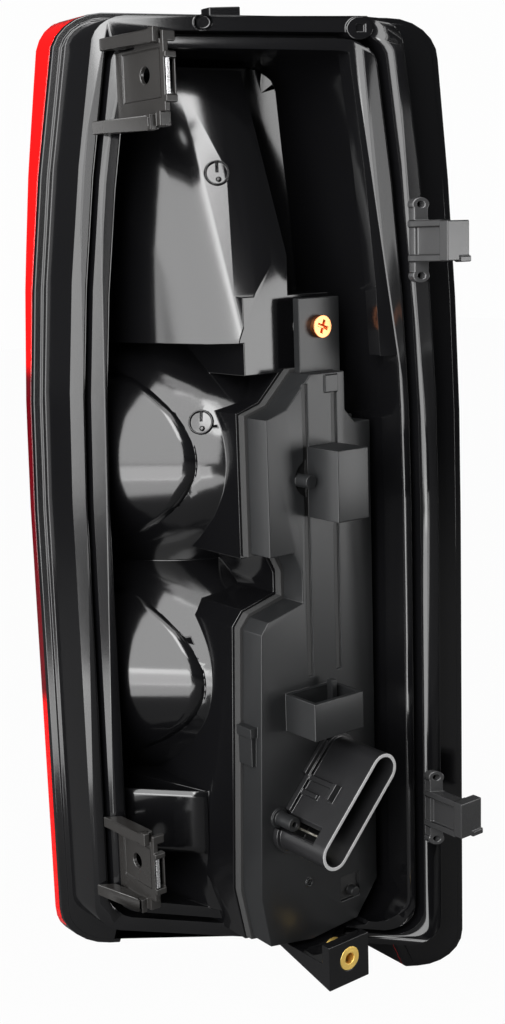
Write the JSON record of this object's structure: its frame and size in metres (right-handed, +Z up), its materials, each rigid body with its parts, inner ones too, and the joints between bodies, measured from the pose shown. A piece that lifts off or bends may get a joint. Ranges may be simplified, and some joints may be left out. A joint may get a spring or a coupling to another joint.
{
  "type": "tail light cluster",
  "caption": "Tall wrap-round corner tail light with red lens, black ribbed rear housing, bulb carrier plate, oval connector and body clips.",
  "frame": {"origin": "centre of the brass insert's face in the lower mounting arm", "axes": "+Z up the lamp, +Y from the car body out to the lens, +X outboard; the insert's hole opens to -Y"},
  "size_m": [0.158, 0.1494, 0.447],
  "materials": {
    "housing_black": "glossy",
    "lens_red": "polished",
    "lens_clear": "polished",
    "reflex_red": "prismatic",
    "carrier_grey": "fine grain",
    "seal_foam": "matte",
    "screw_copper": "plated",
    "connector_black": "satin",
    "pin_tin": "tinned",
    "strip_brass": "satin",
    "bulb_glass": "clear",
    "bulb_base": "matte",
    "insert_brass": "machined",
    "bracket_plastic": "satin",
    "spring_steel": "bright",
    "peg_plastic": "satin"
  },
  "bodies": {
    "root": {"rear_housing": "housing_black", "red_lens": "lens_red", "reverse_window": "lens_clear", "reflex_reflector": "reflex_red", "bulb_carrier": "carrier_grey", "carrier_seal": "seal_foam", "carrier_screw": "screw_copper", "connector_shell": "connector_black", "connector_pins": "pin_tin", "contact_strips": "strip_brass", "bulb_glass_1": "bulb_glass", "bulb_glass_2": "bulb_glass", "bulb_glass_3": "bulb_glass", "bulb_base_1": "bulb_base", "bulb_base_2": "bulb_base", "bulb_base_3": "bulb_base", "brass_insert": "insert_brass", "upper_clip_bracket": "bracket_plastic", "lower_clip_bracket": "bracket_plastic", "upper_u_nut": "spring_steel", "lower_u_nut": "spring_steel", "upper_snap_peg": "peg_plastic", "lower_snap_peg": "peg_plastic"}
  },
  "joints": []
}
